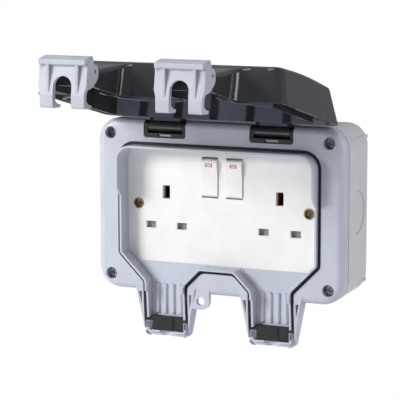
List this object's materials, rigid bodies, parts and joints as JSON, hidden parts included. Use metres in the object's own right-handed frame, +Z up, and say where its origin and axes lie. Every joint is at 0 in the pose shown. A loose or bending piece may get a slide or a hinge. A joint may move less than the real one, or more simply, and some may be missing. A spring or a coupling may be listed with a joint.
{
  "type": "outdoor weatherproof socket",
  "caption": "Wall-mounted outdoor mains socket: grey moulded box with rocker switches under a hinged dark lid with clips and cable spouts.",
  "frame": {"origin": "centre of the back face of the box, on the wall", "axes": "+Y into the wall, front faces -Y, +Z up, +X to the right seen from the front"},
  "size_m": [0.173, 0.1888, 0.195],
  "materials": {
    "box_grey": "fine matt moulded",
    "housing_grey": "fine matt moulded",
    "lid_black": "polished",
    "clip_grey": "satin moulded",
    "white": "satin white",
    "seal_black": "matt",
    "bracket_black": "matt",
    "brass": "bright",
    "steel": "bright zinc",
    "shutter_grey": "matt",
    "base_plastic": "matt"
  },
  "bodies": {
    "casing": {"back_box": "box_grey", "box_gasket": "seal_black", "front_housing": "housing_grey", "weather_seal": "seal_black", "corner_screws": "steel", "hinge_bracket_left": "bracket_black", "hinge_bracket_right": "bracket_black", "hinge_pin_left": "steel", "hinge_pin_right": "steel", "socket_faceplate": "white", "fixing_bushes": "brass", "faceplate_screws": "steel", "socket_base": "base_plastic", "line_contact_left": "brass", "line_contact_right": "brass", "neutral_bar": "brass", "earth_bar": "brass", "supply_bar": "brass", "terminal_screws": "steel", "base_screws": "steel", "shutter_spring_left": "steel", "shutter_spring_right": "steel"},
    "lid": {"lid": "lid_black", "clip_pin_left": "steel", "clip_pin_right": "steel"},
    "clip_left": {"clip_left": "clip_grey"},
    "rocker_left": {"rocker_left": "white"},
    "switch_arm_left": {"switch_arm_left": "brass"},
    "shutter_left": {"shutter_left": "shutter_grey"},
    "clip_right": {"clip_right": "clip_grey"},
    "rocker_right": {"rocker_right": "white"},
    "switch_arm_right": {"switch_arm_right": "brass"},
    "shutter_right": {"shutter_right": "shutter_grey"}
  },
  "joints": [
    {"name": "lid_hinge", "type": "hinge", "parent": "casing", "child": "lid", "pos_m": [0, -0.0446, 0.0523], "axis": [1, 0, 0], "range_deg": [-6, 103.4]},
    {"name": "clip_left_hinge", "type": "hinge", "parent": "lid", "child": "clip_left", "pos_m": [-0.03735, -0.17679, 0.09849], "axis": [1, 0, 0], "range_deg": [-75, 0]},
    {"name": "rocker_left_tilt", "type": "hinge", "parent": "casing", "child": "rocker_left", "pos_m": [-0.0087, -0.0365, 0.01965], "axis": [1, 0, 0], "range_deg": [-11.5, 0]},
    {"name": "switch_arm_left_tilt", "type": "hinge", "parent": "casing", "child": "switch_arm_left", "pos_m": [-0.0087, -0.028, 0.01965], "axis": [1, 0, 0], "range_deg": [-0.1, 16]},
    {"name": "shutter_left_slide", "type": "slide", "parent": "casing", "child": "shutter_left", "axis": [0, 0, -1], "range_m": [0, 0.0062], "stiffness_N_per_m": 40, "springref_m": -0.008, "deforming": ["shutter_spring_left"]},
    {"name": "clip_right_hinge", "type": "hinge", "parent": "lid", "child": "clip_right", "pos_m": [0.03735, -0.17679, 0.09849], "axis": [1, 0, 0], "range_deg": [-75, 0]},
    {"name": "rocker_right_tilt", "type": "hinge", "parent": "casing", "child": "rocker_right", "pos_m": [0.0087, -0.0365, 0.01965], "axis": [1, 0, 0], "range_deg": [-11.5, 0]},
    {"name": "switch_arm_right_tilt", "type": "hinge", "parent": "casing", "child": "switch_arm_right", "pos_m": [0.0087, -0.028, 0.01965], "axis": [1, 0, 0], "range_deg": [-0.1, 16]},
    {"name": "shutter_right_slide", "type": "slide", "parent": "casing", "child": "shutter_right", "axis": [0, 0, -1], "range_m": [0, 0.0062], "stiffness_N_per_m": 40, "springref_m": -0.008, "deforming": ["shutter_spring_right"]}
  ],
  "couplings": [
    {"joint": "switch_arm_left_tilt", "follows": "rocker_left_tilt", "ratio": -0.86957},
    {"joint": "switch_arm_right_tilt", "follows": "rocker_right_tilt", "ratio": -0.86957}
  ]
}
